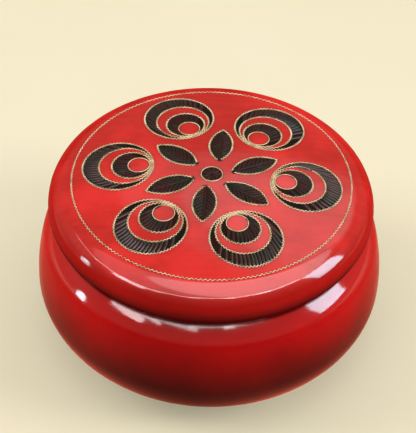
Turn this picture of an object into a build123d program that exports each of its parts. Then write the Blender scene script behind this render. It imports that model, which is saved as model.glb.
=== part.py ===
"""Round lidded box: a bulging bowl, a collar glued in its mouth, and a low domed lid.

The lid's crown carries an inlaid rosette: a centre dot, six leaves and six roundels, each
roundel a nest of rings with two ribbed crescents between them, all inside a border line.

Millimetres. +Z is up, and the origin is the middle of the flat underside.
"""
import os
from math import acos, asin, atan2, cos, degrees, hypot, radians, sin, sqrt

from build123d import *

# ---------------------------------------------------------------- driving dimensions
# Bowl, outside
rim_height = 49.0          # underside to the seam between bowl and lid
rim_radius = 55.05         # outer radius of the bowl at the seam
belly_height = 22.5        # height of the widest place
belly_bulge = 8.35         # how far the belly stands out past the rim
side_lean = 14.0           # inward lean of the side where the shoulder starts, in degrees
rim_lean = 44.5            # inward lean of the shoulder at the rim, in degrees
rim_slope = 3.5            # straight part of the shoulder below the rim, along its slope
belly_run = 36.5           # radial half-axis of the curve that turns in under the belly
foot_radius = 45.7         # radius of the flat underside
foot_round = 1.2           # rounding of the underside's edge
# Bowl, inside
wall = 4.5                 # thickness of the belly
floor_thickness = 5.0
rim_wall = 3.0             # thickness of the rim outside the collar
collar_seat = 6.0          # depth of the rebate that holds the collar, below the seam
lip_edge = 2.0             # thickness of the ledge under the collar at its inner edge
lip_depth = 8.0            # height over which that ledge runs back into the wall
seam_round = 0.6           # rounding of both edges at the seam
# Collar
collar_wall = 2.4
collar_stand = 4.5         # how far the collar stands up above the rim
collar_round = 0.8
glue_gap = 0.1             # glue line between collar and bowl
# Lid
lid_overhang = 3.6         # how far the lid stands out past the rim at its widest
lid_edge_drop = 6.5        # widest place of the lid above the seam
shoulder_radius = 9.1      # rounding between the lid's side and its crown
crown_radius = 405.0       # radius of the gently domed top
lid_wall = 4.5
lid_clearance = 0.4        # running gap round the collar, inside the lid
# Rosette
rosette_turn = 52.5        # direction of the first roundel
rosette_shift = 0.65       # how far behind the lid's axis the roundels and leaves are centred
border_inset = 8.65        # middle of the border line, in from the lid's widest place
border_margin = 3.3        # border line to the outer ring of a roundel, middle to middle
roundel_gap = 8.54         # outer ring to outer ring of neighbouring roundels
outer_crescent_width = 5.89     # widest place between the first ring and the second
red_crescent_width = 4.63       # between the second ring and the third
inner_crescent_width = 5.81     # between the third ring and the fourth
line_width = 0.7           # width of every raised line
line_meet = 0.25           # how far neighbouring rings run into each other on the axis side
dot_radius = 3.8           # middle line of the ring round the centre dot
leaf_gap = 2.63            # ring round the dot to the inner tip of a leaf
leaf_tip_inset = 8.55      # outer tip of a leaf, in from the ring of the roundels' middles
leaf_width = 9.1
leaf_lag = 31.5            # angle from a leaf to the roundel that follows it
# Placing by hand, in degrees: how far each roundel and leaf has strayed round its ring, and
# how far its own middle line turns away from the radius
roundel_strays = (0.0, -0.5, 1.0, 0.0, -1.0, 0.5)
roundel_twists = (5.5, 9.5, 7.5, 2.5, 3.5, -4.0)
leaf_strays = (-3.0, -2.0, 2.0, 3.0, 0.5, 0.0)
leaf_twists = (8.0, 6.0, 1.0, -2.0, 4.5, 6.5)
inlay_seat = 0.6           # depth of every pocket below the crown
line_stand = 0.3           # how far a line stands proud of the crown
field_stand = 0.1          # how far a dark field stands proud of the crown
inlay_gap = 0.08           # gap round each inlaid piece

# ---------------------------------------------------------------- derived places
belly_radius = rim_radius + belly_bulge
mouth_radius = rim_radius - rim_wall
seat_height = rim_height - collar_seat
throat_radius = mouth_radius - collar_wall
collar_radius = mouth_radius - glue_gap
lid_radius = rim_radius + lid_overhang
lid_widest = rim_height + lid_edge_drop
lid_bore = collar_radius + lid_clearance
half_line = line_width / 2
border_radius = lid_radius - border_inset
# The roundels touch two limits: the margin inside the border line, and the gap to their
# neighbours, whose middles are neighbour_share times the orbit away.
sector = 360 / len(roundel_strays)
neighbour_share = 2 * sin(radians(sector / 2))
roundel_radius = (((border_radius - border_margin) * neighbour_share - roundel_gap)
                  / (2 + neighbour_share))
roundel_orbit = border_radius - border_margin - roundel_radius
leaf_start = dot_radius + leaf_gap
leaf_length = roundel_orbit - leaf_tip_inset - leaf_start
leaf_orbit = leaf_start + leaf_length / 2
crown_centre = lid_widest - sqrt((crown_radius - shoulder_radius) ** 2
                                 - (lid_radius - shoulder_radius) ** 2)

# Above the belly two arcs follow one another, the side and the tighter shoulder, and then the
# straight slope. The arcs' radii follow from the rise and the run that they share.
slope_start = (rim_radius + rim_slope * sin(radians(rim_lean)),
               rim_height - rim_slope * cos(radians(rim_lean)))
arcs_rise = slope_start[1] - belly_height
arcs_run = belly_radius - slope_start[0]
side_rise = sin(radians(side_lean))
side_run = 1 - cos(radians(side_lean))
turn_rise = sin(radians(rim_lean)) - side_rise
turn_run = 1 - cos(radians(rim_lean)) - side_run
shared = side_rise * turn_run - turn_rise * side_run
side_radius = (arcs_rise * turn_run - arcs_run * turn_rise) / shared
bowl_shoulder = (side_rise * arcs_run - side_run * arcs_rise) / shared
side_middle = belly_radius - side_radius
bowl_shoulder_middle = (side_middle + (side_radius - bowl_shoulder) * cos(radians(side_lean)),
                        belly_height + (side_radius - bowl_shoulder) * side_rise)


def bulge_radius(rise, run):
    """Radius of an arc that leaves the vertical and moves sideways by run over a rise."""
    return (rise ** 2 + run ** 2) / (2 * run)


def bowl_outline(thickness, bottom, lean):
    """Half outline of the bowl from its axis at the bottom, round the belly, up the side.

    It is set in from the outer surface by thickness, and stops where the side leans in by
    lean degrees.
    """
    run = belly_run - thickness
    hollow_centre = belly_radius - belly_run
    turn = acos((foot_radius - hollow_centre) / run)
    drop = (belly_height - bottom) / sin(turn)
    Line((0, bottom), (foot_radius, bottom))
    EllipticalCenterArc((hollow_centre, belly_height), run, drop,
                        start_angle=-degrees(turn), arc_size=degrees(turn))
    CenterArc((side_middle, belly_height), side_radius - thickness, 0, lean)


def lid_outline(side_radius, corner, crown):
    """Half outline of a domed top: a corner arc at the side, then the crown to the axis.

    It returns the height where the side ends and the corner arc starts.
    """
    level = crown_centre + sqrt((crown - corner) ** 2 - (side_radius - corner) ** 2)
    lean = degrees(asin((side_radius - corner) / (crown - corner)))
    CenterArc((side_radius - corner, level), corner, 0, 90 - lean)
    CenterArc((0, crown_centre), crown, 90 - lean, lean)
    return level


def crown_plane(orbit, direction, depth, turn=0.0):
    """Plane square to the crown, depth below it; local X points outward, less a turn."""
    tilt = asin(orbit / crown_radius)
    azimuth = radians(direction)
    normal = Vector(sin(tilt) * cos(azimuth), sin(tilt) * sin(azimuth), cos(tilt))
    outward = Vector(cos(tilt) * cos(azimuth), cos(tilt) * sin(azimuth), -sin(tilt))
    origin = Vector(0, 0, crown_centre) + normal * (crown_radius - depth)
    return Plane(origin=origin, x_dir=outward.rotate(Axis((0, 0, 0), normal), turn), z_dir=normal)


def rosette_seat(orbit, direction, twist):
    """Floor of one pocket of the shifted rosette; local X points along direction plus twist."""
    x = orbit * cos(radians(direction))
    y = orbit * sin(radians(direction)) + rosette_shift
    bearing = degrees(atan2(y, x))
    return crown_plane(hypot(x, y), bearing, inlay_seat, direction + twist - bearing)


# Each ring of a roundel lies inside the one before, pushed toward the lid's axis until
# their lines meet, so a shift is the sum of the steps before it.
ring_step = line_width - line_meet
ring_radii = [roundel_radius]
for crescent_width in (outer_crescent_width, red_crescent_width, inner_crescent_width):
    ring_radii.append(ring_radii[-1] - (crescent_width + ring_step) / 2)
ring_shifts = [roundel_radius - radius - index * ring_step
               for index, radius in enumerate(ring_radii)]


def roundel_disc(index, margin, mode=Mode.ADD):
    """Disc of one ring of a roundel, grown or shrunk by margin."""
    with Locations((-ring_shifts[index], 0)):
        Circle(ring_radii[index] + margin, mode=mode)


def roundel_rings():
    """Four ring lines, each inside the one before."""
    for index in range(len(ring_radii)):
        roundel_disc(index, half_line)
        roundel_disc(index, -half_line, Mode.SUBTRACT)


def roundel_crescent(outer, inner):
    """Crescent between the lines of two neighbouring rings."""
    roundel_disc(outer, -half_line - inlay_gap)
    roundel_disc(inner, half_line + inlay_gap, Mode.SUBTRACT)


def roundel_pocket():
    """Floor of a roundel's pocket: all of it but the red crescent and the red disc."""
    roundel_disc(0, half_line + inlay_gap)
    roundel_disc(1, -half_line - inlay_gap, Mode.SUBTRACT)
    roundel_disc(2, half_line + inlay_gap)
    roundel_disc(3, -half_line - inlay_gap, Mode.SUBTRACT)


def leaf_face(inset):
    """Pointed oval along X between two arcs, set in from the leaf's outline."""
    arc_radius = bulge_radius(leaf_length / 2, leaf_width / 2)
    arc_offset = arc_radius - leaf_width / 2
    with BuildSketch() as leaf:
        with Locations((0, -arc_offset)):
            Circle(arc_radius - inset)
        with Locations((0, arc_offset)):
            Circle(arc_radius - inset, mode=Mode.INTERSECT)
    return leaf.sketch_local


def finish(part, name):
    """Name a finished piece and write it out."""
    part.label = name
    export_step(part, f"parts/{name}.step")


os.makedirs("parts", exist_ok=True)

roundel_seats = [rosette_seat(roundel_orbit, rosette_turn + n * sector + stray, twist)
                 for n, (stray, twist) in enumerate(zip(roundel_strays, roundel_twists))]
leaf_seats = [rosette_seat(leaf_orbit, rosette_turn - leaf_lag + n * sector + stray, twist)
              for n, (stray, twist) in enumerate(zip(leaf_strays, leaf_twists))]
line_height = inlay_seat + line_stand
field_height = inlay_seat + field_stand
border_seat = crown_centre + sqrt(crown_radius ** 2 - border_radius ** 2) - inlay_seat
pocket_reach = 2 * inlay_seat        # cuts from a pocket's floor to well above the crown

# ---------------------------------------------------------------- bowl
with BuildPart() as base_bowl:
    with BuildSketch(Plane.XZ):
        with BuildLine():
            bowl_outline(0, 0, side_lean)
            CenterArc(bowl_shoulder_middle, bowl_shoulder, side_lean, rim_lean - side_lean)
            Polyline(slope_start, (rim_radius, rim_height), (0, rim_height), (0, 0))
        make_face()
    revolve(axis=Axis.Z)
    # hollow, up to the ledge that carries the collar
    with BuildSketch(Plane.XZ):
        with BuildLine():
            lip_height = seat_height - lip_depth
            hollow_side = side_radius - wall
            lip_lean = asin((lip_height - belly_height) / hollow_side)
            bowl_outline(wall, floor_thickness, degrees(lip_lean))
            hollow_radius = side_middle + hollow_side * cos(lip_lean)
            Polyline((hollow_radius, lip_height), (throat_radius, seat_height - lip_edge),
                     (throat_radius, seat_height), (0, seat_height), (0, floor_thickness))
        make_face()
    revolve(axis=Axis.Z, mode=Mode.SUBTRACT)
    # rebate for the collar
    with BuildSketch(Plane.XY.offset(seat_height)):
        Circle(mouth_radius)
    extrude(amount=collar_seat, mode=Mode.SUBTRACT)
    rim_edges = base_bowl.edges().filter_by(GeomType.CIRCLE).group_by(Axis.Z)[-1]
    fillet(rim_edges.sort_by(SortBy.RADIUS)[-1], radius=seam_round)
    foot_edges = base_bowl.edges().filter_by(GeomType.CIRCLE).group_by(Axis.Z)[0]
    fillet(foot_edges.sort_by(SortBy.RADIUS)[-1], radius=foot_round)
finish(base_bowl.part, "base_bowl")

# ---------------------------------------------------------------- collar
with BuildPart() as mouth_collar:
    with BuildSketch(Plane.XY.offset(seat_height)):
        Circle(collar_radius)
        Circle(collar_radius - collar_wall, mode=Mode.SUBTRACT)
    extrude(amount=collar_seat + collar_stand)
    top_face = mouth_collar.faces().sort_by(Axis.Z)[-1]
    fillet(top_face.edges(), radius=collar_round)
finish(mouth_collar.part, "mouth_collar")

# ---------------------------------------------------------------- lid
with BuildPart() as lid_shell:
    with BuildSketch(Plane.XZ):
        with BuildLine():
            hem_radius = bulge_radius(lid_edge_drop, lid_overhang)
            hem_lean = degrees(asin(lid_edge_drop / hem_radius))
            CenterArc((lid_radius - hem_radius, lid_widest), hem_radius, -hem_lean, hem_lean)
            lid_outline(lid_radius, shoulder_radius, crown_radius)
            Polyline((0, crown_centre + crown_radius), (0, rim_height), (rim_radius, rim_height))
        make_face()
    revolve(axis=Axis.Z)
    # hollow, which slides over the collar
    with BuildSketch(Plane.XZ):
        with BuildLine():
            inner_crown = crown_radius - lid_wall
            inner_side = lid_outline(lid_bore, shoulder_radius - lid_wall, inner_crown)
            Polyline((0, crown_centre + inner_crown), (0, rim_height), (lid_bore, rim_height),
                     (lid_bore, inner_side))
        make_face()
    revolve(axis=Axis.Z, mode=Mode.SUBTRACT)
    hem_edges = lid_shell.edges().filter_by(GeomType.CIRCLE).group_by(Axis.Z)[0]
    fillet(hem_edges.sort_by(SortBy.RADIUS)[-1], radius=seam_round)
    # shallow flat-bottomed pockets for the inlaid pieces
    with BuildSketch(*roundel_seats):
        roundel_pocket()
    extrude(amount=pocket_reach, mode=Mode.SUBTRACT)
    with BuildSketch(*leaf_seats):
        add(leaf_face(-inlay_gap))
    extrude(amount=pocket_reach, mode=Mode.SUBTRACT)
    with BuildSketch(crown_plane(0, 0, inlay_seat)):
        Circle(dot_radius + half_line + inlay_gap)
    extrude(amount=pocket_reach, mode=Mode.SUBTRACT)
    with BuildSketch(Plane.XY.offset(border_seat)):
        Circle(border_radius + half_line + inlay_gap)
        Circle(border_radius - half_line - inlay_gap, mode=Mode.SUBTRACT)
    extrude(amount=pocket_reach, mode=Mode.SUBTRACT)
finish(lid_shell.part, "lid_shell")

# ---------------------------------------------------------------- border line and centre dot
with BuildPart() as border_line:
    with BuildSketch(Plane.XY.offset(border_seat)):
        Circle(border_radius + half_line)
        Circle(border_radius - half_line, mode=Mode.SUBTRACT)
    extrude(amount=line_height)
finish(border_line.part, "border_line")

with BuildPart() as dot_line:
    with BuildSketch(crown_plane(0, 0, inlay_seat)):
        Circle(dot_radius + half_line)
        Circle(dot_radius - half_line, mode=Mode.SUBTRACT)
    extrude(amount=line_height)
finish(dot_line.part, "dot_line")

with BuildPart() as dot_field:
    with BuildSketch(crown_plane(0, 0, inlay_seat)):
        Circle(dot_radius - half_line - inlay_gap)
    extrude(amount=field_height)
finish(dot_field.part, "dot_field")

# ---------------------------------------------------------------- leaves
for number, seat in enumerate(leaf_seats, start=1):
    with BuildPart() as leaf_line:
        with BuildSketch(seat):
            add(leaf_face(0))
            add(leaf_face(line_width), mode=Mode.SUBTRACT)
        extrude(amount=line_height)
    finish(leaf_line.part, f"leaf_line_{number}")
    with BuildPart() as leaf_field:
        with BuildSketch(seat):
            add(leaf_face(line_width + inlay_gap))
        extrude(amount=field_height)
    finish(leaf_field.part, f"leaf_field_{number}")

# ---------------------------------------------------------------- roundels
for number, seat in enumerate(roundel_seats, start=1):
    with BuildPart() as roundel_line:
        with BuildSketch(seat):
            roundel_rings()
        extrude(amount=line_height)
    finish(roundel_line.part, f"roundel_line_{number}")
    with BuildPart() as outer_crescent:
        with BuildSketch(seat):
            roundel_crescent(0, 1)
        extrude(amount=field_height)
    finish(outer_crescent.part, f"outer_crescent_{number}")
    with BuildPart() as inner_crescent:
        with BuildSketch(seat):
            roundel_crescent(2, 3)
        extrude(amount=field_height)
    finish(inner_crescent.part, f"inner_crescent_{number}")
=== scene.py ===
"""Looks of the round lacquered box: wavy gilt lines round ribbed dark fields, on a red lid.

Lengths are in metres, worked out from millimetres by mm(). +Z is up, and the origin is the
middle of the flat underside. Directions are degrees round +Z, from +X.
"""
from math import acos, asin, cos, degrees, pi, radians, sin, sqrt, tan, tau

import bpy
from mathutils import Matrix, Vector, noise as space_noise


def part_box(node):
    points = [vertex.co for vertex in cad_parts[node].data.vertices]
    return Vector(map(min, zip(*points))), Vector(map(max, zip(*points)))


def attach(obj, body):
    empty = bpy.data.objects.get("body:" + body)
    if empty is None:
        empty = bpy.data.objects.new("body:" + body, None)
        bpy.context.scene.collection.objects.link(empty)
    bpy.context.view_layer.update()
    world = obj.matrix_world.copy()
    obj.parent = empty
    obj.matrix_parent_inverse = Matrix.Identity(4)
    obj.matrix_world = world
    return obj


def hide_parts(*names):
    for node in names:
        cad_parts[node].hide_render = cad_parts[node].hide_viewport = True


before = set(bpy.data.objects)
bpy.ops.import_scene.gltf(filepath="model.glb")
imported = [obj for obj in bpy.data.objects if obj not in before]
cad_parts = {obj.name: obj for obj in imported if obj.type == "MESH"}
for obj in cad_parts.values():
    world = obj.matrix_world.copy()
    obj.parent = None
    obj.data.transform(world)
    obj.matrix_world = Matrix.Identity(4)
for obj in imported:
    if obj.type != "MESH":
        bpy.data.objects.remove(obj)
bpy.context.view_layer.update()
scene = bpy.context.scene


def mm(length):
    """Millimetres to metres."""
    return length * 0.001


# ---------------------------------------------------------------- sizes of the box
# Bowl and collar
rim_height = mm(49.0)
rim_radius = mm(55.05)
belly_height = mm(22.5)
belly_bulge = mm(8.35)
side_lean = 14.0                # lean of the side where the bowl's shoulder starts
rim_lean = 44.5                 # lean of that shoulder at the rim
rim_slope = mm(3.5)             # straight part of the shoulder below the rim
belly_run = mm(36.5)
foot_radius = mm(45.7)
foot_round = mm(1.2)
wall = mm(4.5)
floor_thickness = mm(5.0)
rim_wall = mm(3.0)
collar_seat = mm(6.0)
lip_edge = mm(2.0)
lip_depth = mm(8.0)
seam_round = mm(0.6)
collar_wall = mm(2.4)
collar_stand = mm(4.5)
collar_round = mm(0.8)
glue_gap = mm(0.1)
# Lid
lid_overhang = mm(3.6)
lid_edge_drop = mm(6.5)
shoulder_radius = mm(9.1)
crown_radius = mm(405.0)
lid_wall = mm(4.5)
lid_clearance = mm(0.4)
# Rosette
rosette_turn = 52.5
border_radius = mm(50.0)
ring_radii = (mm(12.72), mm(9.55), mm(7.01), mm(3.88))
ring_shifts = (0.0, mm(2.72), mm(4.81), mm(7.49))
roundel_strays = (0.0, -0.5, 1.0, 0.0, -1.0, 0.5)       # degrees round the axis
roundel_twists = (5.5, 9.5, 7.5, 2.5, 3.5, -4.0)        # degrees away from the radius
dot_radius = mm(3.8)
leaf_length = mm(19.0)
leaf_width = mm(9.1)
leaf_lag = 31.5
leaf_strays = (-3.0, -2.0, 2.0, 3.0, 0.5, 0.0)
leaf_twists = (8.0, 6.0, 1.0, -2.0, 4.5, 6.5)
line_room = mm(0.7)             # width of the groove that a gilt line lies in

# Places worked out from those sizes
belly_radius = rim_radius + belly_bulge
mouth_radius = rim_radius - rim_wall
seat_height = rim_height - collar_seat
throat_radius = mouth_radius - collar_wall
collar_radius = mouth_radius - glue_gap
lid_radius = rim_radius + lid_overhang
lid_widest = rim_height + lid_edge_drop
lid_bore = collar_radius + lid_clearance
crown_centre = lid_widest - sqrt((crown_radius - shoulder_radius) ** 2
                                 - (lid_radius - shoulder_radius) ** 2)
leaf_arc = ((leaf_length / 2) ** 2 + (leaf_width / 2) ** 2) / leaf_width
leaf_arc_offset = leaf_arc - leaf_width / 2
# Above the belly two arcs follow one another, the side and the tighter shoulder, and then the
# straight slope. The arcs' radii follow from the rise and the run that they share.
slope_start = (rim_radius + rim_slope * sin(radians(rim_lean)),
               rim_height - rim_slope * cos(radians(rim_lean)))
arcs_rise, arcs_run = slope_start[1] - belly_height, belly_radius - slope_start[0]
side_rise, side_run = sin(radians(side_lean)), 1 - cos(radians(side_lean))
turn_rise = sin(radians(rim_lean)) - side_rise
turn_run = 1 - cos(radians(rim_lean)) - side_run
shared = side_rise * turn_run - turn_rise * side_run
side_radius = (arcs_rise * turn_run - arcs_run * turn_rise) / shared
bowl_shoulder = (side_rise * arcs_run - side_run * arcs_rise) / shared
side_middle = belly_radius - side_radius
shoulder_middle = (side_middle + (side_radius - bowl_shoulder) * cos(radians(side_lean)),
                   belly_height + (side_radius - bowl_shoulder) * side_rise)


def places(node, first_direction, strays, twists):
    """Middle line's direction and middle of each of a ring of nodes on the lid."""
    made = []
    for n, (stray, twist) in enumerate(zip(strays, twists)):
        low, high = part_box(f"{node}_{n + 1}")
        direction = first_direction + n * 360 / len(strays) + stray + twist
        made.append({"Turn": radians(direction),
                     "X": (low[0] + high[0]) / 2, "Y": (low[1] + high[1]) / 2})
    return made


roundel_places = places("roundel_line", rosette_turn, roundel_strays, roundel_twists)
leaf_places = places("leaf_line", rosette_turn - leaf_lag, leaf_strays, leaf_twists)

# ---------------------------------------------------------------- hand work
# Rubbed sides of the bowl and the lid
side_wave = mm(0.085)           # deepest that the rubbing goes
wave_scale = 125.0              # broadest hollows a metre
wave_octaves = ((1.0, 1.0), (2.4, 0.35), (4.6, 0.14))   # how much finer, and how strong
wave_limit = 1.3                # their sum stays within this either way
wave_fade = mm(2.0)             # height over which the rubbing comes in and fades out
# Heights between which each is rubbed
bowl_rubbed = (mm(4.0), rim_height - mm(1.2))
lid_rubbed = (rim_height + mm(1.5), crown_centre + crown_radius - mm(3.6))
# Gilt lines
line_width = mm(0.19)
border_width = line_width * 0.8
line_stand = mm(0.26)           # top of a line above the crown
line_sway = mm(0.28)            # sideways swing of a wavy line
line_steps = 8                  # points along one wave
line_lap = line_width * 0.3     # a rib ends this far from a line's middle, still under it
plain_steps = 72                # points of a ring without waves
border_waves = 199
ring_waves = (64, 48, 35, 0)
leaf_waves = 16                 # along each side of a leaf
leaf_mouth = mm(0.7)            # a leaf's line stays open this far from its inner tip
leaf_steps = 24                 # points along each side of a leaf's plate
bead_sides = 8
ring_phase = 1.7                # radians that the waves of the next ring lag
roundel_phase = 1.3             # and of the next roundel
leaf_phase = 0.9                # and of the next leaf
# Dark fields and their ribs
plate_stand = mm(0.03)
plate_thickness = mm(0.3)
rib_stand = mm(0.27)
rib_least_stand = 0.8           # share of that height that the lowest ribs have
rib_blunt = 0.35                # nought for a plain ellipsoid, more for blunter ends
rib_shake = 2.5                 # degrees that a rib strays either way
rib_shortest = mm(0.7)
outer_ribs = 19
inner_ribs = 10
rib_fan = 0.33                  # how far a rib turns for each degree round its roundel
rib_slants = (-6.5, -9.5, -1.0, 1.5, -9.5, -17.5)     # lean of each roundel's middle rib
vein_count = 9
vein_angle = 43.0
vein_root = mm(0.35)            # start of a vein beside the middle of its leaf
vein_shift = 0.25               # of a pitch, toward the tip on one side and back on the other
midrib_length = leaf_length * 0.84
midrib_start = leaf_length * 0.45       # from the middle of the leaf toward its inner tip
midrib_width = mm(1.1)
rib_swell = 1.05                # how much fuller veins and midribs are than their room
dot_ribs = 9
dot_rib_start = mm(0.5)
dot_rib_length = dot_radius - mm(0.7)
dot_rib_width = mm(1.5)


# ---------------------------------------------------------------- nodes as expressions
class Value:
    """An output of a node. An expression on values adds its Math nodes."""

    def __init__(self, work, socket):
        self.work = work
        self.socket = socket

    def at(self, name):
        """Another output of the same node."""
        outputs = self.socket.node.outputs
        return Value(self.work, next(s for s in outputs if s.enabled and s.name == name))

    def math(self, operation, *others):
        return self.work.add("ShaderNodeMath", {"operation": operation}, [self, *others])

    def __add__(self, other):
        return self.math("ADD", other)

    def __radd__(self, other):
        return self.math("ADD", other)

    def __sub__(self, other):
        return self.math("SUBTRACT", other)

    def __rsub__(self, other):
        return self.work.add("ShaderNodeMath", {"operation": "SUBTRACT"}, [other, self])

    def __mul__(self, other):
        return self.math("MULTIPLY", other)

    def __rmul__(self, other):
        return self.math("MULTIPLY", other)

    def __truediv__(self, other):
        return self.math("DIVIDE", other)

    def __rtruediv__(self, other):
        return self.work.add("ShaderNodeMath", {"operation": "DIVIDE"}, [other, self])

    def __pow__(self, other):
        return self.math("POWER", other)

    def __neg__(self):
        return self.math("MULTIPLY", -1.0)

    def __abs__(self):
        return self.math("ABSOLUTE")

    def fade(self, full, gone):
        """One up to full, nothing past gone, and smooth between."""
        return self.work.add("ShaderNodeMapRange", {"interpolation_type": "SMOOTHSTEP"}, {
            "Value": self, "From Min": full, "From Max": gone, "To Min": 1.0, "To Max": 0.0})


class Work:
    """Adds nodes to one tree, of a material or of a shape."""

    def __init__(self, tree):
        self.tree = tree

    def add(self, kind, settings=None, values=None):
        """New node: its settings first, then its sockets by name or in order."""
        node = self.tree.nodes.new(kind)
        for name, setting in (settings or {}).items():
            setattr(node, name, setting)
        sockets = [s for s in node.inputs if s.enabled]
        if isinstance(values, dict):
            pairs = [(next(s for s in sockets if s.name == n), v) for n, v in values.items()]
        else:
            pairs = list(zip(sockets, values or []))
        for socket, value in pairs:
            for one in value if isinstance(value, list) else [value]:
                if isinstance(one, Value):
                    self.tree.links.new(one.socket, socket)
                else:
                    socket.default_value = one
        first = next((s for s in node.outputs if s.enabled), None)
        return Value(self, first) if first else None

    def split(self, vector):
        """The three parts of a vector."""
        parts = self.add("ShaderNodeSeparateXYZ", None, [vector])
        return parts.at("X"), parts.at("Y"), parts.at("Z")

    def join(self, x, y, z):
        return self.add("ShaderNodeCombineXYZ", None, [x, y, z])

    def root(self, value):
        return value.math("SQRT")

    def sine(self, value):
        return value.math("SINE")

    def cosine(self, value):
        return value.math("COSINE")


# ---------------------------------------------------------------- shapes that follow a rule
def open_shape(name, inputs):
    """New geometry tree with named number inputs; gives its work and those inputs."""
    tree = bpy.data.node_groups.new(name, "GeometryNodeTree")
    for label in inputs:
        tree.interface.new_socket(name=label, in_out="INPUT", socket_type="NodeSocketFloat")
    tree.interface.new_socket(name="Shape", in_out="OUTPUT", socket_type="NodeSocketGeometry")
    work = Work(tree)
    start = work.add("NodeGroupInput")
    return work, [start.at(label) for label in inputs]


def finished(work, shape, material):
    """Shape with a finish on its faces."""
    return work.add("GeometryNodeSetMaterial", None, {"Geometry": shape, "Material": material})


def close_shape(work, shape):
    """End a tree."""
    work.add("NodeGroupOutput", None, [shape])
    return work.tree


def circle_path(work, radius, shift, waves=0, sway=0.0, phase=0.0):
    """Closed ring whose middle lies shift toward -X, swaying in and out in whole waves."""
    steps = line_steps * waves if waves else plain_steps
    ring = work.add("GeometryNodeCurvePrimitiveCircle", {"mode": "RADIUS"}, {
        "Resolution": steps, "Radius": 1.0})
    turn = work.add("GeometryNodeInputIndex") * (tau / steps)
    reach = radius
    if waves:
        # the pitch drifts a little on the way round, as hand work does
        drift = 0.9 * work.sine(turn * 3.0 + phase) + 0.6 * work.sine(turn * 7.0)
        reach = radius + work.sine(turn * waves + drift + phase) * sway
    place = work.join(reach * work.cosine(turn) - shift, reach * work.sine(turn), 0.0)
    return work.add("GeometryNodeSetPosition", None, {"Geometry": ring, "Position": place})


def leaf_side_path(work, side, sway, phase):
    """One side of a leaf from near its inner tip at -X to its outer tip."""
    radius = leaf_arc - line_room / 2
    half_turn = acos(leaf_arc_offset / radius)
    start = -half_turn + leaf_mouth / radius
    line = work.add("GeometryNodeCurvePrimitiveLine")
    line = work.add("GeometryNodeResampleCurve", None, {
        "Curve": line, "Count": line_steps * leaf_waves})
    share = work.add("GeometryNodeSplineParameter").at("Factor")
    angle = share * (half_turn - start) + start
    swing = work.sine(share * (leaf_waves * tau) + phase + side)
    reach = radius + swing * sway
    place = work.join(reach * work.sine(angle),
                      (reach * work.cosine(angle) - leaf_arc_offset) * side, 0.0)
    return work.add("GeometryNodeSetPosition", None, {"Geometry": line, "Position": place})


def leaf_outline(work, inset):
    """Closed outline of a leaf, set in by inset."""
    radius = leaf_arc - inset
    half_turn = acos(leaf_arc_offset / radius)
    sides = []
    for side in (1, -1):
        line = work.add("GeometryNodeCurvePrimitiveLine")
        line = work.add("GeometryNodeResampleCurve", None, {"Curve": line, "Count": leaf_steps})
        share = work.add("GeometryNodeSplineParameter").at("Factor")
        angle = (share * 2.0 - 1.0) * (half_turn * side)
        place = work.join(work.sine(angle) * radius,
                          (work.cosine(angle) * radius - leaf_arc_offset) * side, 0.0)
        sides.append(work.add("GeometryNodeSetPosition", None, {
            "Geometry": line, "Position": place}))
    mesh = work.add("GeometryNodeCurveToMesh", None, {
        "Curve": work.add("GeometryNodeJoinGeometry", None, [sides])})
    mesh = work.add("GeometryNodeMergeByDistance", None, {
        "Geometry": mesh, "Distance": mm(0.01)})
    return work.add("GeometryNodeMeshToCurve", None, [mesh])


def bead(work, path, width, stand):
    """Rounded bead along a path, half of it sunk in the crown."""
    path = work.add("GeometryNodeSetCurveNormal", {"mode": "Z_UP"}, [path])
    section = work.add("GeometryNodeCurvePrimitiveCircle", {"mode": "RADIUS"}, {
        "Resolution": bead_sides, "Radius": 1.0})
    section = work.add("GeometryNodeTransform", None, {
        "Geometry": section, "Scale": work.join(width * 0.5, stand, 1.0)})
    mesh = work.add("GeometryNodeCurveToMesh", None, {
        "Curve": path, "Profile Curve": section, "Fill Caps": True})
    return work.add("GeometryNodeSetShadeSmooth", None, [mesh])


def plate(work, outline):
    """Thin closed plate that fills an outline, all but its top sunk in the crown."""
    low = work.add("GeometryNodeFillCurve", {"mode": "TRIANGLES"}, [outline])
    low = work.add("GeometryNodeTransform", None, {
        "Geometry": low, "Translation": (0.0, 0.0, plate_stand - plate_thickness)})
    sides = work.add("GeometryNodeExtrudeMesh", {"mode": "FACES"}, {
        "Mesh": low, "Offset": (0.0, 0.0, 1.0), "Offset Scale": plate_thickness,
        "Individual": False})
    under = work.add("GeometryNodeFlipFaces", None, [low])
    both = work.add("GeometryNodeJoinGeometry", None, [[sides, under]])
    return work.add("GeometryNodeMergeByDistance", None, {
        "Geometry": both, "Distance": mm(0.001)})


def rib_seed(work):
    """One rib of unit half-length, half-width and height: a blunt-ended grain along X."""
    grain = work.add("GeometryNodeMeshUVSphere", None, {
        "Segments": 8, "Rings": 8, "Radius": 1.0})
    x, y, z = work.split(work.add("GeometryNodeInputPosition"))
    round_part = work.root(x * x + y * y)
    swell = round_part.math("MAXIMUM", 0.0001) ** -rib_blunt
    place = work.join(z, y * swell, -x * swell)
    grain = work.add("GeometryNodeSetPosition", None, {"Geometry": grain, "Position": place})
    return work.add("GeometryNodeSetShadeSmooth", None, [grain])


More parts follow.
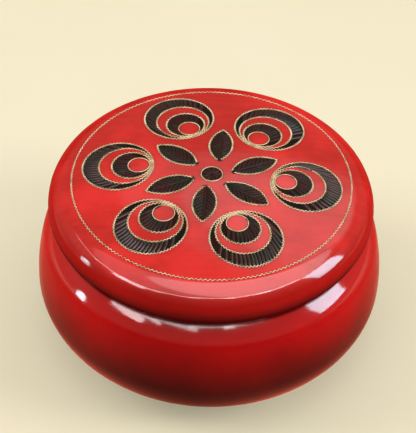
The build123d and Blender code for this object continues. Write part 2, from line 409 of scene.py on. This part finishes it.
def rib_row(work, count, start, angle, length, width, seed):
    """Ribs from a start point each, along an angle, for a length; the short ones are left out."""
    x, y = start
    shake = work.add("FunctionNodeRandomValue", {"data_type": "FLOAT"}, {
        "Min": -1.0, "Max": 1.0, "Seed": seed})
    lift = work.add("FunctionNodeRandomValue", {"data_type": "FLOAT"}, {
        "Min": rib_least_stand, "Max": 1.0, "Seed": seed + 9.0})
    angle = angle + shake * radians(rib_shake)
    middle = work.join(x + work.cosine(angle) * length * 0.5,
                       y + work.sine(angle) * length * 0.5, 0.0)
    points = work.add("GeometryNodePoints", None, {"Count": count, "Position": middle})
    return work.add("GeometryNodeInstanceOnPoints", None, {
        "Points": points,
        "Selection": length.math("GREATER_THAN", rib_shortest),
        "Instance": rib_seed(work),
        "Rotation": work.join(0.0, 0.0, angle),
        "Scale": work.join(length * 0.5, width * 0.5, lift * rib_stand)})


def run_to_circle(work, start, heading, middle, radius, far):
    """Distance from a point along a heading to a circle's near or far side, and its depth."""
    x = start[0] - middle[0]
    y = start[1] - middle[1]
    along = x * heading[0] + y * heading[1]
    depth = along * along - (x * x + y * y) + radius * radius
    reach = work.root(depth.math("MAXIMUM", 0.0))
    return (reach - along if far else -along - reach), depth


def onto_crown(work, shape, turn, x, y):
    """Turn a flat shape, move it over the lid and lay it on the domed crown."""
    real = work.add("GeometryNodeRealizeInstances", None, [shape])
    flat_x, flat_y, height = work.split(work.add("GeometryNodeInputPosition"))
    over_x = flat_x * work.cosine(turn) - flat_y * work.sine(turn) + x
    over_y = flat_x * work.sine(turn) + flat_y * work.cosine(turn) + y
    crown = work.root(crown_radius ** 2 - over_x * over_x - over_y * over_y) + crown_centre
    return work.add("GeometryNodeSetPosition", None, {
        "Geometry": real, "Position": work.join(over_x, over_y, crown + height)})


PLACE = ("Turn", "X", "Y")
LINE = ("Width", "Stand", "Sway", "Phase")


def ring_lines_shape(name, rings, material):
    """Gilt rings, each a radius, a shift toward -X and a number of waves."""
    work, (width, stand, sway, phase, *place) = open_shape(name, (*LINE, *PLACE))
    paths = [circle_path(work, radius, shift, waves, sway, phase + ring_phase * n)
             for n, (radius, shift, waves) in enumerate(rings)]
    lines = bead(work, work.add("GeometryNodeJoinGeometry", None, [paths]), width, stand)
    return close_shape(work, onto_crown(work, finished(work, lines, material), *place))


def leaf_line_shape(name, material):
    """The two gilt sides of a leaf, open at the inner tip."""
    work, (width, stand, sway, phase, *place) = open_shape(name, (*LINE, *PLACE))
    paths = [leaf_side_path(work, side, sway, phase) for side in (1, -1)]
    lines = bead(work, work.add("GeometryNodeJoinGeometry", None, [paths]), width, stand)
    return close_shape(work, onto_crown(work, finished(work, lines, material), *place))


def crescent_shape(name, outer, inner, flat_material, rib_material):
    """Dark crescent between two rings, ribbed from the outer ring to the inner one."""
    work, (ribs, slant, fan, seed, *place) = open_shape(
        name, ("Ribs", "Slant", "Fan", "Seed", *PLACE))
    outer_middle, inner_middle = -ring_shifts[outer], -ring_shifts[inner]
    rims = [circle_path(work, ring_radii[outer], -outer_middle),
            circle_path(work, ring_radii[inner], -inner_middle)]
    ground = plate(work, work.add("GeometryNodeJoinGeometry", None, [rims]))
    edge = ring_radii[outer] - line_lap
    across = (work.add("GeometryNodeInputIndex") + 0.5) / ribs * 2.0 - 1.0
    bearing = across.math("ARCSINE")
    angle = bearing * fan + slant + pi
    start = (work.cosine(bearing) * edge + outer_middle, across * edge)
    heading = (work.cosine(angle), work.sine(angle))
    to_inner, meets = run_to_circle(work, start, heading, (inner_middle, 0.0),
                                    ring_radii[inner] + line_lap, False)
    to_outer, _ = run_to_circle(work, start, heading, (outer_middle, 0.0), edge, True)
    hit = meets.math("GREATER_THAN", 0.0)
    length = hit * to_inner + (1.0 - hit) * to_outer
    row = rib_row(work, ribs, start, angle, length, 2.0 * edge / ribs, seed)
    both = [finished(work, ground, flat_material), finished(work, row, rib_material)]
    joined = work.add("GeometryNodeJoinGeometry", None, [both])
    return close_shape(work, onto_crown(work, joined, *place))


def leaf_field_shape(name, flat_material, rib_material):
    """Dark leaf with a raised midrib and slanting veins."""
    work, (veins, lean, seed, *place) = open_shape(name, ("Veins", "Lean", "Seed", *PLACE))
    parts = []
    pitch = midrib_length / veins
    for side in (1, -1):
        step = (work.add("GeometryNodeInputIndex") + vein_shift * side) * pitch
        start = (step - midrib_start, vein_root * side)
        angle = lean * side
        heading = (work.cosine(angle), work.sine(angle))
        length, _ = run_to_circle(work, start, heading, (0.0, -leaf_arc_offset * side),
                                  leaf_arc - line_room, True)
        parts.append(rib_row(work, veins, start, angle, length,
                             pitch * work.sine(lean) * rib_swell, seed + 3.0 * side))
    parts.append(work.add("GeometryNodeTransform", None, {
        "Geometry": rib_seed(work),
        "Scale": (midrib_length / 2, midrib_width / 2, rib_stand * rib_swell)}))
    raised = finished(work, work.add("GeometryNodeJoinGeometry", None, [parts]), rib_material)
    ground = finished(work, plate(work, leaf_outline(work, line_room / 2)), flat_material)
    joined = work.add("GeometryNodeJoinGeometry", None, [[ground, raised]])
    return close_shape(work, onto_crown(work, joined, *place))


def dot_field_shape(name, flat_material, rib_material):
    """Dark centre dot with short ribs round it."""
    work, (ribs, seed, *place) = open_shape(name, ("Ribs", "Seed", *PLACE))
    ground = plate(work, circle_path(work, dot_radius, 0.0))
    angle = work.add("GeometryNodeInputIndex") / ribs * tau
    start = (work.cosine(angle) * dot_rib_start, work.sine(angle) * dot_rib_start)
    length = ribs * 0.0 + dot_rib_length        # the same for all, as a value of the tree
    row = rib_row(work, ribs, start, angle, length, dot_rib_width, seed)
    both = [finished(work, ground, flat_material), finished(work, row, rib_material)]
    joined = work.add("GeometryNodeJoinGeometry", None, [both])
    return close_shape(work, onto_crown(work, joined, *place))


def make_piece(name, tree, sizes):
    """Plain mesh of what a tree makes with these sizes."""
    piece = bpy.data.objects.new(name, bpy.data.meshes.new(name))
    scene.collection.objects.link(piece)
    modifier = piece.modifiers.new("shape", "NODES")
    modifier.node_group = tree
    for item in tree.interface.items_tree:
        if item.in_out == "INPUT":
            modifier[item.identifier] = float(sizes[item.name])
    bpy.context.view_layer.update()
    made = bpy.data.meshes.new_from_object(
        piece.evaluated_get(bpy.context.evaluated_depsgraph_get()))
    piece.modifiers.clear()
    piece.data = made
    made.name = name
    return piece


# ---------------------------------------------------------------- turned bodies
sharp_angle = 32.0              # a bend past this shows as an edge
# Points round the axis, and along the curves of the outlines
turned_steps = 320
belly_steps, side_steps, rim_steps = 26, 14, 16
hem_steps, corner_steps, crown_steps, hollow_steps = 16, 24, 40, 12


def arc(centre, radius, start, end, steps=12, squash=1.0):
    """Points of an arc in an outline of radius and height, from start to end degrees."""
    angles = [radians(start + (end - start) * n / steps) for n in range(steps + 1)]
    return [(centre[0] + radius * cos(a), centre[1] + radius * squash * sin(a)) for a in angles]


def rounded(before, corner, after, radius, steps=5):
    """Points that round a corner of an outline between its two neighbours."""
    corner = Vector(corner)
    back, on = (Vector(before) - corner).normalized(), (Vector(after) - corner).normalized()
    half = back.angle(on) / 2
    middle = corner + (back + on).normalized() * (radius / sin(half))
    first = corner + back * (radius / tan(half)) - middle
    last = corner + on * (radius / tan(half)) - middle
    spokes = [first.lerp(last, n / steps).normalized() for n in range(steps + 1)]
    return [tuple(middle + spoke * radius) for spoke in spokes]


def rubbed_depth(spot, low, high):
    """How far a hand-rubbed side lies inside the true one, which it meets at two heights."""
    wave = sum(space_noise.noise(spot * wave_scale * finer) * share
               for finer, share in wave_octaves)
    hold = min((spot.z - low) / wave_fade, (high - spot.z) / wave_fade, 1.0)
    return side_wave * max(hold, 0.0) * (wave + wave_limit) / (2 * wave_limit)


def turned(name, outline, finish_of=None, rubbed=0, between=(0.0, 0.0)):
    """Closed body turned about the axis from an outline of radius and height.

    As many of its first points as rubbed says are hand-rubbed between two heights."""
    rings = []
    points = []
    for step, (radius, height) in enumerate(outline):
        if radius < mm(0.001):
            rings.append([len(points)])
            points.append((0.0, 0.0, height))
            continue
        rings.append(list(range(len(points), len(points) + turned_steps)))
        for n in range(turned_steps):
            turn = tau * n / turned_steps
            spot = Vector((radius * cos(turn), radius * sin(turn), height))
            reach = radius - (rubbed_depth(spot, *between) if step < rubbed else 0.0)
            points.append((reach * cos(turn), reach * sin(turn), height))
    faces = []
    finishes = []
    for step, (ring, following) in enumerate(zip(rings, rings[1:] + rings[:1])):
        if len(ring) == 1 and len(following) == 1:
            continue
        for n in range(turned_steps):
            m = (n + 1) % turned_steps
            corners = [ring[n % len(ring)], ring[m % len(ring)],
                       following[m % len(following)], following[n % len(following)]]
            faces.append(list(dict.fromkeys(corners)))
            finishes.append(finish_of[step] if finish_of else 0)
    mesh = bpy.data.meshes.new(name)
    mesh.from_pydata(points, [], faces)
    mesh.polygons.foreach_set("material_index", finishes)
    mesh.shade_smooth()
    mesh.set_sharp_from_angle(angle=radians(sharp_angle))
    body = bpy.data.objects.new(name, mesh)
    scene.collection.objects.link(body)
    return body


def bulge_arc(rise, run):
    """Radius of an arc that leaves the vertical and moves sideways by run over a rise."""
    return (rise ** 2 + run ** 2) / (2 * run)


def bowl_side(thickness, bottom, top, foot):
    """Outline of the bowl from its foot's edge up to a height, set in by a thickness."""
    run = belly_run - thickness
    lower_middle = belly_radius - belly_run
    turn = acos((foot - lower_middle) / run)
    drop = (belly_height - bottom) / sin(turn)
    lean = min(side_lean, degrees(asin((top - belly_height) / (side_radius - thickness))))
    lower_side = arc((lower_middle, belly_height), run, -degrees(turn), 0.0, belly_steps,
                     drop / run)
    upper_side = arc((side_middle, belly_height), side_radius - thickness, 0.0, lean, side_steps)
    return lower_side + upper_side[1:]


def crown_side(reach, corner, crown, steps=crown_steps):
    """Outline of a domed top from its side, over the shoulder, to the axis."""
    level = crown_centre + sqrt((crown - corner) ** 2 - (reach - corner) ** 2)
    lean = degrees(asin((reach - corner) / (crown - corner)))
    shoulder = arc((reach - corner, level), corner, 0.0, 90.0 - lean, corner_steps)
    top = arc((0.0, crown_centre), crown, 90.0 - lean, 90.0, steps)
    return shoulder + top[1:]


def make_bowl():
    """Bowl; its second finish is for the underside and the inside."""
    side = bowl_side(0.0, 0.0, rim_height, foot_radius)
    side += arc(shoulder_middle, bowl_shoulder, side_lean, rim_lean, rim_steps)[1:]
    side += [(rim_radius, rim_height)]
    foot = rounded((0.0, 0.0), side[0], side[1], foot_round)
    rim = rounded(side[-2], side[-1], (mouth_radius, rim_height), seam_round)
    hollow = bowl_side(wall, floor_thickness, seat_height - lip_depth, foot_radius)
    outline = [(0.0, 0.0)] + foot + side[2:-1] + rim
    red_steps = len(outline)
    outline += [(mouth_radius, rim_height), (mouth_radius, seat_height),
                (throat_radius, seat_height), (throat_radius, seat_height - lip_edge)]
    outline += hollow[::-1] + [(0.0, floor_thickness)]
    finish_of = [1] + [0] * (red_steps - 1) + [1] * (len(outline) - red_steps)
    return turned("bowl", outline, finish_of, red_steps, bowl_rubbed)


def make_collar():
    """Collar glued in the bowl's mouth, which the lid slides over."""
    inner = collar_radius - collar_wall
    top = rim_height + collar_stand
    outline = [(inner, seat_height), (collar_radius, seat_height)]
    outline += rounded((collar_radius, seat_height), (collar_radius, top), (inner, top),
                       collar_round)
    outline += rounded((collar_radius, top), (inner, top), (inner, seat_height), collar_round)
    return turned("collar", outline)


def make_lid():
    """Hollow lid with a rounded hem, a full shoulder and a gently domed crown.

    Its second finish is for the inside."""
    hem = bulge_arc(lid_edge_drop, lid_overhang)
    hem_lean = degrees(asin(lid_edge_drop / hem))
    hem_side = arc((lid_radius - hem, lid_widest), hem, -hem_lean, 0.0, hem_steps)
    edge = rounded((lid_bore, rim_height), hem_side[0], hem_side[1], seam_round)
    over = crown_side(lid_radius, shoulder_radius, crown_radius)
    under = crown_side(lid_bore, shoulder_radius - lid_wall, crown_radius - lid_wall,
                       hollow_steps)
    outline = [(lid_bore, rim_height)] + edge + hem_side[1:] + over[1:]
    red_steps = len(outline)
    outline += under[::-1]
    finish_of = [0] * (red_steps - 1) + [1] * (len(outline) - red_steps + 1)
    return turned("lid", outline, finish_of, red_steps, lid_rubbed)


# ---------------------------------------------------------------- finishes
# Dyes of the lid and the bowl, and the colours of painted shade on them
lid_bright = (0.53, 0.014, 0.012)
lid_deep = (0.33, 0.007, 0.004)
lid_side_shade = (0.30, 0.004, 0.003)
lid_pale = (0.64, 0.025, 0.020)
shoulder_red = (0.43, 0.003, 0.004)
foot_shade_red = (0.040, 0.001, 0.001)
seam_shade_red = (0.058, 0.0015, 0.0015)
red_shadow = (0.06, 0.004, 0.003)
sheen_red = (1.0, 0.17, 0.11)
# Black lacquer and gilt
black_rubbed = (0.022, 0.012, 0.010)
black_deep = (0.008, 0.006, 0.006)
gilt_worn = (0.50, 0.37, 0.16)
gilt_bright = (0.88, 0.74, 0.46)
gilt_dirt = (0.20, 0.11, 0.04)
# Brown, dark red and olive of each dark finish
ground_tones = ((0.005, 0.003, 0.002), (0.014, 0.003, 0.002), (0.008, 0.007, 0.004))
rib_tones = ((0.012, 0.007, 0.005), (0.030, 0.005, 0.004), (0.018, 0.015, 0.007))
vein_tones = ((0.014, 0.009, 0.006), (0.026, 0.005, 0.004), (0.024, 0.020, 0.010))
# Heights where each is full and where it is gone
foot_shade_fade = (mm(19.0), mm(49.0))            # painted shade, darker toward the foot, up from the underside
seam_fade = (mm(0.5), mm(1.2))              # painted shade in the seam, down from the rim
hem_shade_fade = (mm(3.6), mm(9.5))               # painted shade on the hem, up from the rim
lid_side_shade_fade = (mm(5.0), mm(7.5))          # painted shade, deeper red down the lid's side, up from its widest place
lid_polish_fade = (mm(6.2), mm(3.4))        # polish, up from that place
bowl_polish_fade = (mm(-5.0), mm(-6.8))     # polish, up from the rim
crown_level = rim_height + mm(12.0)         # the crown lies above this
# Patterns, and painted light
lid_light_drift = 0.9                             # painted light: brighter a metre, to the right and to the front
lid_streaks = (60.0, 900.0, 300.0)          # spots a metre along each axis
scuff_streaks = (420.0, 90.0, 200.0)
# Polish, full and gone as a face turns away from the eye
lid_polish_turn = (0.42, 0.58)
bowl_polish_turn = (0.35, 0.65)
bowl_edge_turn = (0.95, 0.76)               # it comes back at the bowl's edges
bowl_edge_polish = 0.32
dull_coat = 0.06                            # clear lacquer left where the polish is gone


def new_finish(name):
    """New material; gives the material, its work and Object coordinates."""
    material = bpy.data.materials.new(name)
    material.use_nodes = True
    material.node_tree.nodes.clear()
    work = Work(material.node_tree)
    return material, work, work.add("ShaderNodeTexCoord").at("Object")


def close_finish(work, sockets):
    """End a material with one principled surface."""
    surface = work.add("ShaderNodeBsdfPrincipled", None, sockets)
    work.add("ShaderNodeOutputMaterial", None, [surface])


def noise(work, coordinates, scale, detail=3.0, roughness=0.5):
    """Soft noise, about nought to one; scale is in spots a metre."""
    return work.add("ShaderNodeTexNoise", {"noise_dimensions": "3D"}, {
        "Vector": coordinates, "Scale": scale, "Detail": detail, "Roughness": roughness})


def uneven(work, height, depth, strength):
    """Shading of a surface that a height from nought to one lifts by up to a depth."""
    return work.add("ShaderNodeBump", None, {
        "Strength": strength, "Distance": depth, "Height": height})


def blend(work, factor, first, second):
    """Colour between two colours."""
    return work.add("ShaderNodeMix", {"data_type": "RGBA", "clamp_factor": True}, {
        "Factor": factor, "A": colour(first), "B": colour(second)})


def colour(value):
    """Colour with its fourth part, or a link as it is."""
    return value if isinstance(value, Value) else (*value, 1.0)


def stretched(work, coordinates, x, y, z):
    """Coordinates scaled along each axis, which draws a pattern out."""
    return work.add("ShaderNodeMapping", {"vector_type": "POINT"}, {
        "Vector": coordinates, "Scale": (x, y, z)})


def line_distance(work, x, y):
    """Distance over the lid to the nearest gilt line, but for the border."""
    flat = work.join(x, y, 0.0)

    def away(centre_x, centre_y):
        return work.add("ShaderNodeVectorMath", {"operation": "DISTANCE"},
                        [flat, (centre_x, centre_y, 0.0)])

    nearest = abs(away(0.0, 0.0) - dot_radius)
    for place in roundel_places:
        turn_x, turn_y = cos(place["Turn"]), sin(place["Turn"])
        for radius, shift in zip(ring_radii, ring_shifts):
            ring = away(place["X"] - shift * turn_x, place["Y"] - shift * turn_y)
            nearest = nearest.math("MINIMUM", abs(ring - radius))
    for place in leaf_places:
        off_x = -leaf_arc_offset * sin(place["Turn"])
        off_y = leaf_arc_offset * cos(place["Turn"])
        one_side = away(place["X"] + off_x, place["Y"] + off_y)
        other_side = away(place["X"] - off_x, place["Y"] - off_y)
        rim = one_side.math("MAXIMUM", other_side) - leaf_arc + line_room / 2
        nearest = nearest.math("MINIMUM", abs(rim))
    return nearest


def lid_tone(work, place, cloud):
    """Mottled red of the lid, darker beside the gilt lines; painted light makes it brighter toward
    the right and front, and painted shade darkens its side and hem.
    """
    x, y, z = work.split(place)
    broad = noise(work, place, 24.0, 4.0, 0.62)
    # Random mottling, and painted light: the lid is brighter toward the right and the front.
    tone = blend(work, (broad + (x - y) * lid_light_drift).fade(0.38, 0.60), lid_bright, lid_deep)
    streaks = noise(work, stretched(work, place, *lid_streaks), 1.0, 3.0)
    tone = blend(work, streaks.fade(0.25, 0.8) * 0.22, tone, lid_pale)
    on_crown = (crown_level - z).fade(0.0, mm(1.0))
    near = line_distance(work, x, y)
    border = abs(work.root(x * x + y * y) - border_radius)
    for distance, full, gone, share in ((near, mm(0.3), mm(2.0), 0.12),
                                        (near, mm(0.2), mm(0.7), 0.5),
                                        (border, mm(0.15), mm(0.7), 0.5)):
        tone = blend(work, distance.fade(full, gone) * on_crown * share, tone, red_shadow)
    # Painted shade: deeper red down the lid's side, below the shoulder.
    side = (z - lid_widest + (cloud - 0.5) * mm(3.0)).fade(*lid_side_shade_fade)
    tone = blend(work, side * 0.75, tone, lid_side_shade)
    # Painted shade: dark hem, up from the rim.
    return blend(work, (z - rim_height).fade(*hem_shade_fade) * 0.93, tone, seam_shade_red)


def bowl_tone(work, z, cloud):
    """Red of the bowl, with painted shade darker toward its foot and in the seam."""
    # Painted shade: darker toward the foot.
    down = (z + (cloud - 0.5) * mm(14.0)).fade(*foot_shade_fade)
    tone = blend(work, down, shoulder_red, foot_shade_red)
    # Painted shade: dark seam just below the rim.
    return blend(work, (rim_height - z).fade(*seam_fade) * 0.8, tone, seam_shade_red)


def red_lacquer(name, of_lid):
    """Deep red dye with painted light and shade, under clear lacquer polished on the crown and the
    shoulder.
    """
    material, work, place = new_finish(name)
    z = work.split(place)[2]
    cloud = noise(work, place, 38.0, 4.0, 0.55)
    scuff = noise(work, stretched(work, place, *scuff_streaks), 1.0, 4.0, 0.6)
    swell = noise(work, place, 55.0, 1.0) + noise(work, place, 420.0, 2.0) * 0.05
    facing = work.add("ShaderNodeLayerWeight", None, {"Blend": 0.5}).at("Facing")
    if of_lid:
        tone = lid_tone(work, place, cloud)
        polish = (z - lid_widest).fade(*lid_polish_fade) * facing.fade(*lid_polish_turn)
    else:
        tone = bowl_tone(work, z, cloud)
        polish = (z - rim_height).fade(*bowl_polish_fade) * facing.fade(*bowl_polish_turn)
        polish = polish.math("MAXIMUM", facing.fade(*bowl_edge_turn) * bowl_edge_polish)
        polish = polish * (rim_height - z).fade(*seam_fade[::-1])
    close_finish(work, {
        "Base Color": tone, "Roughness": 0.105 - scuff.fade(0.42, 0.75) * 0.03,
        "Normal": uneven(work, swell, mm(0.35), 0.35), "Specular IOR Level": 0.0,
        "Coat Weight": polish * (1.0 - dull_coat) + dull_coat, "Coat Roughness": 0.085,
        "Coat IOR": 1.5, "Sheen Weight": 0.0 if of_lid else 0.85, "Sheen Roughness": 0.36,
        "Sheen Tint": (*sheen_red, 1.0)})
    return material


def black_lacquer(name):
    """Satin black lacquer of the collar, the insides and the underside."""
    material, work, place = new_finish(name)
    cloud = noise(work, place, 90.0, 5.0, 0.6)
    tone = blend(work, cloud.fade(0.35, 0.7), black_rubbed, black_deep)
    bump = uneven(work, noise(work, place, 350.0, 4.0), mm(0.2), 0.3)
    close_finish(work, {
        "Base Color": tone, "Roughness": 0.24 + cloud * 0.16, "IOR": 1.5, "Normal": bump})
    return material


def gilt_line(name):
    """Pale gold line, worn to olive brass in places."""
    material, work, place = new_finish(name)
    worn = noise(work, place, 260.0, 4.0, 0.6)
    grain = noise(work, place, 2600.0, 2.0)
    tone = blend(work, worn.fade(0.42, 0.66), gilt_worn, gilt_bright)
    tone = blend(work, grain.fade(0.2, 0.5) * 0.35, tone, gilt_dirt)
    close_finish(work, {
        "Base Color": tone, "Metallic": 0.12, "Roughness": 0.34 + worn * 0.2,
        "Normal": uneven(work, grain, mm(0.06), 0.4)})
    return material


def dark_relief(name, colours, roughness, gloss):
    """Near-black brown relief, with dark red and olive rubbed through it."""
    material, work, place = new_finish(name)
    cloud = noise(work, place, 170.0, 3.0)
    patch = noise(work, stretched(work, place, 1.0, 1.3, 1.0), 330.0, 3.0)
    brown, dark_red, olive = colours
    tone = blend(work, cloud.fade(0.40, 0.62), brown, dark_red)
    tone = blend(work, patch.fade(0.30, 0.42), tone, olive)
    bump = uneven(work, noise(work, place, 1500.0, 3.0), mm(0.08), 0.3)
    close_finish(work, {
        "Base Color": tone, "Roughness": roughness + patch * 0.1, "Specular IOR Level": gloss,
        "Normal": bump})
    return material


lid_red = red_lacquer("red lacquer of the lid", True)
bowl_red = red_lacquer("red lacquer of the bowl", False)
black = black_lacquer("black lacquer")
gilt = gilt_line("gilt line")
ground = dark_relief("dark ground", ground_tones, 0.4, 0.04)
ribbing = dark_relief("dark ribs", rib_tones, 0.06, 0.38)
veining = dark_relief("dark veins", vein_tones, 0.18, 0.12)


# ---------------------------------------------------------------- the box
def dress(piece, body, nodes, materials=()):
    """Put a finished piece on its body, in place of its nodes."""
    for material in materials:
        piece.data.materials.append(material)
    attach(piece, body)
    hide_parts(*nodes)


dress(make_bowl(), "base", ["base_bowl"], [bowl_red, black])
dress(make_collar(), "base", ["mouth_collar"], [black])
dress(make_lid(), "lid", ["lid_shell"], [lid_red, black])

line_sizes = {"Width": line_width, "Stand": line_stand, "Sway": line_sway, "Phase": 0.0}
middle = {"Turn": 0.0, "X": 0.0, "Y": 0.0}
border_shape = ring_lines_shape("border line", [(border_radius, 0.0, border_waves)], gilt)
dot_shape = ring_lines_shape("dot line", [(dot_radius, 0.0, 0)], gilt)
roundel_shape = ring_lines_shape("roundel lines", zip(ring_radii, ring_shifts, ring_waves), gilt)
leaf_shape = leaf_line_shape("leaf line", gilt)
outer_shape = crescent_shape("outer crescent", 0, 1, ground, ribbing)
inner_shape = crescent_shape("inner crescent", 2, 3, ground, veining)
veined_shape = leaf_field_shape("leaf field", ground, veining)
ribbed_dot_shape = dot_field_shape("dot field", ground, veining)

dress(make_piece("border_wave", border_shape, line_sizes | middle | {"Width": border_width}),
      "lid", ["border_line"])
dress(make_piece("dot_ring", dot_shape, line_sizes | middle), "lid", ["dot_line"])
dress(make_piece("dot_ribs", ribbed_dot_shape, {"Ribs": dot_ribs, "Seed": 5} | middle),
      "lid", ["dot_field"])

for number, here in enumerate(roundel_places, start=1):
    lines = line_sizes | here | {"Phase": roundel_phase * number}
    dress(make_piece(f"roundel_waves_{number}", roundel_shape, lines),
          "lid", [f"roundel_line_{number}"])
    ribs = {"Slant": radians(rib_slants[number - 1]), "Fan": rib_fan} | here
    dress(make_piece(f"outer_ribs_{number}", outer_shape,
                     ribs | {"Ribs": outer_ribs, "Seed": number}),
          "lid", [f"outer_crescent_{number}"])
    dress(make_piece(f"inner_ribs_{number}", inner_shape,
                     ribs | {"Ribs": inner_ribs, "Seed": number + 20}),
          "lid", [f"inner_crescent_{number}"])

for number, here in enumerate(leaf_places, start=1):
    lines = line_sizes | here | {"Phase": leaf_phase * number}
    dress(make_piece(f"leaf_waves_{number}", leaf_shape, lines),
          "lid", [f"leaf_line_{number}"])
    veins = {"Veins": vein_count, "Lean": radians(vein_angle), "Seed": number + 40} | here
    dress(make_piece(f"leaf_veins_{number}", veined_shape, veins),
          "lid", [f"leaf_field_{number}"])


# ---------------------------------------------------------------- floor, light and camera
floor_half = 2.0
floor_tones = ((0.69, 0.61, 0.415), (0.745, 0.68, 0.50))
floor_plain = 0.45              # share of the floor that shows its own tone, lit or not
room_light = 0.12
room_light_colour = (1.0, 0.97, 0.94)
room_colour = (0.36, 0.33, 0.27)


def ray_seen(work):
    """One where the camera sees, by itself or in a polished or clear face."""
    path = work.add("ShaderNodeLightPath")
    return path.at("Is Camera Ray") + path.at("Is Glossy Ray") + path.at("Is Transmission Ray")


def floor_finish():
    """Pale warm cloth-coloured floor."""
    material, work, place = new_finish("pale floor")
    tone = blend(work, noise(work, place, 9.0, 3.0), *floor_tones)
    cloth = work.add("ShaderNodeBsdfPrincipled", None, {"Base Color": tone, "Roughness": 0.85})
    plain = work.add("ShaderNodeEmission", None, {"Color": tone, "Strength": 1.0})
    both = work.add("ShaderNodeMixShader", None, [ray_seen(work) * floor_plain, cloth, plain])
    work.add("ShaderNodeOutputMaterial", None, [both])
    return material


def make_floor():
    """Flat floor that the box stands on."""
    mesh = bpy.data.meshes.new("floor")
    corners = [(x * floor_half, y * floor_half, 0.0)
               for x, y in ((-1, -1), (1, -1), (1, 1), (-1, 1))]
    mesh.from_pydata(corners, [], [(0, 1, 2, 3)])
    floor = bpy.data.objects.new("floor", mesh)
    scene.collection.objects.link(floor)
    mesh.materials.append(floor_finish())


def toward(azimuth, elevation):
    """Direction from the box; azimuth 0 is in front and 90 on the right."""
    a, e = radians(azimuth), radians(elevation)
    return Vector((sin(a) * cos(e), -cos(a) * cos(e), sin(e)))


def softbox(name, direction, distance, size, brightness, shows,
            tint=(1.0, 1.0, 1.0), shape="RECTANGLE", level=False):
    """Flat lamp in a direction from the box, which it faces, or the floor if it is level.

    Brightness is its own surface's. It shows as fill on matt faces or shine on polished ones."""
    lamp = bpy.data.lights.new(name, "AREA")
    lamp.shape = shape
    lamp.size, lamp.size_y = size
    area = size[0] * size[1] * (pi / 4 if shape == "ELLIPSE" else 1.0)
    lamp.energy = brightness * pi * area
    lamp.color = tint
    holder = bpy.data.objects.new(name, lamp)
    scene.collection.objects.link(holder)
    away = toward(*direction)
    holder.location = Vector((0.0, 0.0, rim_height)) + away * distance
    if not level:
        holder.rotation_euler = away.to_track_quat("Z", "Y").to_euler()
    holder.visible_camera = False
    holder.visible_diffuse = shows == "fill"
    holder.visible_glossy = shows == "shine"


def make_lamps():
    """Wide overhead light, its bright front edge, a window each side and a pale back wall."""
    overhead = {"shape": "ELLIPSE", "level": True}
    softbox("overhead", (180.0, 82.0), 0.94, (2.0, 1.2), 1.85, "fill", **overhead)
    softbox("overhead sheen", (0.0, 73.0), 0.95, (2.2, 1.4), 1.0, "shine", **overhead)
    softbox("overhead glow", (60.0, 66.0), 0.93, (1.3, 1.2), 2.7, "shine", **overhead)
    for azimuth, elevation, brightness in ((-97.0, 37.0, 4.0), (-72.0, 37.0, 9.0),
                                           (-47.0, 38.5, 12.0), (-22.0, 41.0, 9.0),
                                           (3.0, 43.0, 10.0), (28.0, 42.5, 14.0),
                                           (52.0, 42.0, 12.0)):
        softbox("edge of overhead", (azimuth, elevation), 1.3, (0.55, 0.05), brightness, "shine")
    softbox("right window", (81.0, 26.0), 1.1, (0.42, 0.62), 13.0, "fill")
    softbox("right window glare", (81.0, 24.0), 1.05, (0.40, 0.59), 14.0, "shine",
            tint=(0.58, 0.98, 1.15))
    softbox("left fill", (-95.0, 26.0), 1.1, (0.6, 0.6), 8.5, "fill")
    softbox("edge of left window", (-55.0, 34.0), 1.25, (0.45, 0.14), 12.0, "shine")
    softbox("left lamp", (-81.0, 3.0), 0.9, (0.12, 0.32), 20.0, "shine",
            tint=(0.6, 1.0, 1.08), shape="ELLIPSE")
    for distance, width, brightness in ((1.20, 1.2, 0.5), (1.16, 0.8, 0.8)):
        softbox("back wall", (157.0, 49.0), distance, (width, 0.42 * width), brightness, "shine",
                shape="ELLIPSE")


def make_room():
    """Dim light from all round, and the pale room that the camera and polished faces see."""
    room = bpy.data.worlds.new("room")
    room.use_nodes = True
    room.node_tree.nodes.clear()
    work = Work(room.node_tree)
    light = work.add("ShaderNodeBackground", None, {
        "Color": (*room_light_colour, 1.0), "Strength": room_light})
    plain = work.add("ShaderNodeBackground", None, {"Color": (*room_colour, 1.0), "Strength": 1.0})
    both = work.add("ShaderNodeMixShader", None, [ray_seen(work), light, plain])
    work.add("ShaderNodeOutputWorld", None, [both])
    scene.world = room


make_floor()
make_lamps()
make_room()
scene.view_settings.view_transform = "Standard"

# Camera
image_height = 433
focal_pixels = 1654.1
stand_off = 0.5905              # from the camera to the level of the border line's middle
down_angle = 0.7531             # radians below the horizon
roll = 0.0301
right_pixels = 2.61             # where that middle lies from the middle of the image
up_pixels = 36.05


def make_camera():
    """Camera above the front of the box, a little rolled."""
    target = Vector((0.0, 0.0, crown_centre + sqrt(crown_radius ** 2 - border_radius ** 2)))
    forward = Vector((0.0, cos(down_angle), -sin(down_angle)))
    right = Vector((1.0, 0.0, 0.0))
    up = right.cross(forward)
    pixel = stand_off / focal_pixels
    camera = bpy.data.objects.new("camera", bpy.data.cameras.new("camera"))
    scene.collection.objects.link(camera)
    camera.data.sensor_width = 36.0
    camera.data.lens = focal_pixels / image_height * camera.data.sensor_width
    camera.data.clip_start = 0.01
    place = target - forward * stand_off - right * (right_pixels * pixel) - up * (up_pixels * pixel)
    turned_right = right * cos(roll) + up * sin(roll)
    turned_up = up * cos(roll) - right * sin(roll)
    turn = Matrix((turned_right, turned_up, -forward)).transposed()
    camera.matrix_world = Matrix.Translation(place) @ turn.to_4x4()
    scene.camera = camera


make_camera()
